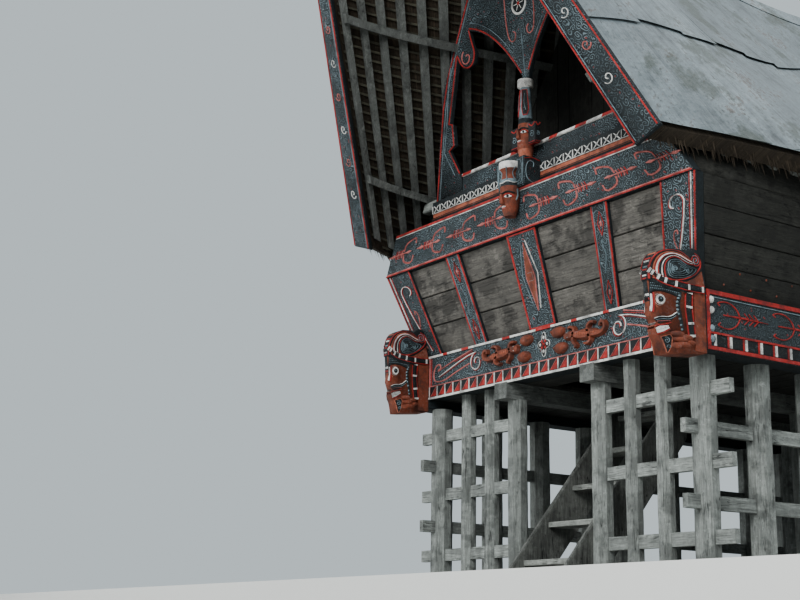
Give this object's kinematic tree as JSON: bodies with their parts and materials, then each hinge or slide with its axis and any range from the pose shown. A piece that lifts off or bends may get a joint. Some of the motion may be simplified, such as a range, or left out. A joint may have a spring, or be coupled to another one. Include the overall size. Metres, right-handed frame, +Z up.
{
  "type": "batak toba house",
  "caption": "Carved timber house on posts with a saddle roof, leaning walls, a gable balcony, an entrance stair under the floor and guardian heads on its corners.",
  "frame": {"origin": "on the ground under the middle of the whole box, which the roof's two ends set", "axes": "+Z up, -Y towards the carved front with the stair, +X to the right of someone facing that front"},
  "size_m": [5.5488, 12.844, 9.7215],
  "materials": {
    "post_wood": "weathered grey, hand hewn",
    "dark_wood": "dark, unpainted",
    "board_wood": "weathered grey-brown boards",
    "stair_wood": "worn grey-brown",
    "carved_wood": "carved, painted charcoal with red and white",
    "red_brown_wood": "carved, painted red-brown",
    "orange_paint": "painted salmon orange, faded",
    "white_paint": "painted white with red marks",
    "roof_covering": "dull blue-grey sheets over thatch"
  },
  "bodies": {
    "root": {"side_post_frame_left": "post_wood", "front_post_frame_left": "post_wood", "rear_post_frame_left": "post_wood", "floor_joist_left": "dark_wood", "side_beam_left": "carved_wood", "guardian_head_left": "red_brown_wood", "stair_stringer_left": "stair_wood", "side_wall_left": "dark_wood", "side_plate_left": "dark_wood", "rafters_left": "dark_wood", "roof_left": "roof_covering", "barge_front_left": "carved_wood", "barge_rear_left": "carved_wood", "side_post_frame_right": "post_wood", "front_post_frame_right": "post_wood", "rear_post_frame_right": "post_wood", "floor_joist_right": "dark_wood", "side_beam_right": "carved_wood", "guardian_head_right": "red_brown_wood", "stair_stringer_right": "stair_wood", "side_wall_right": "dark_wood", "side_plate_right": "dark_wood", "rafters_right": "dark_wood", "roof_right": "roof_covering", "barge_front_right": "carved_wood", "barge_rear_right": "carved_wood", "front_beam": "carved_wood", "rear_beam": "dark_wood", "floor": "dark_wood", "stair_tread_1": "stair_wood", "stair_tread_2": "stair_wood", "stair_tread_3": "stair_wood", "stair_tread_4": "stair_wood", "stair_tread_5": "stair_wood", "front_end_post_left": "carved_wood", "front_end_post_right": "carved_wood", "front_mid_post_left": "carved_wood", "front_mid_post_right": "carved_wood", "front_centre_post": "carved_wood", "front_boards_1": "board_wood", "front_boards_2": "board_wood", "front_boards_3": "board_wood", "front_boards_4": "board_wood", "front_band": "carved_wood", "rear_wall": "board_wood", "rear_band": "dark_wood", "balcony_floor": "dark_wood", "sill_beam": "orange_paint", "mask_bracket": "carved_wood", "parapet": "carved_wood", "parapet_rail": "white_paint", "lower_mask": "red_brown_wood", "pillar_figure": "red_brown_wood", "gable_frame": "carved_wood", "gable_cross_beam": "post_wood", "inner_gable_wall": "dark_wood", "rear_gable_wall": "dark_wood"}
  },
  "joints": []
}
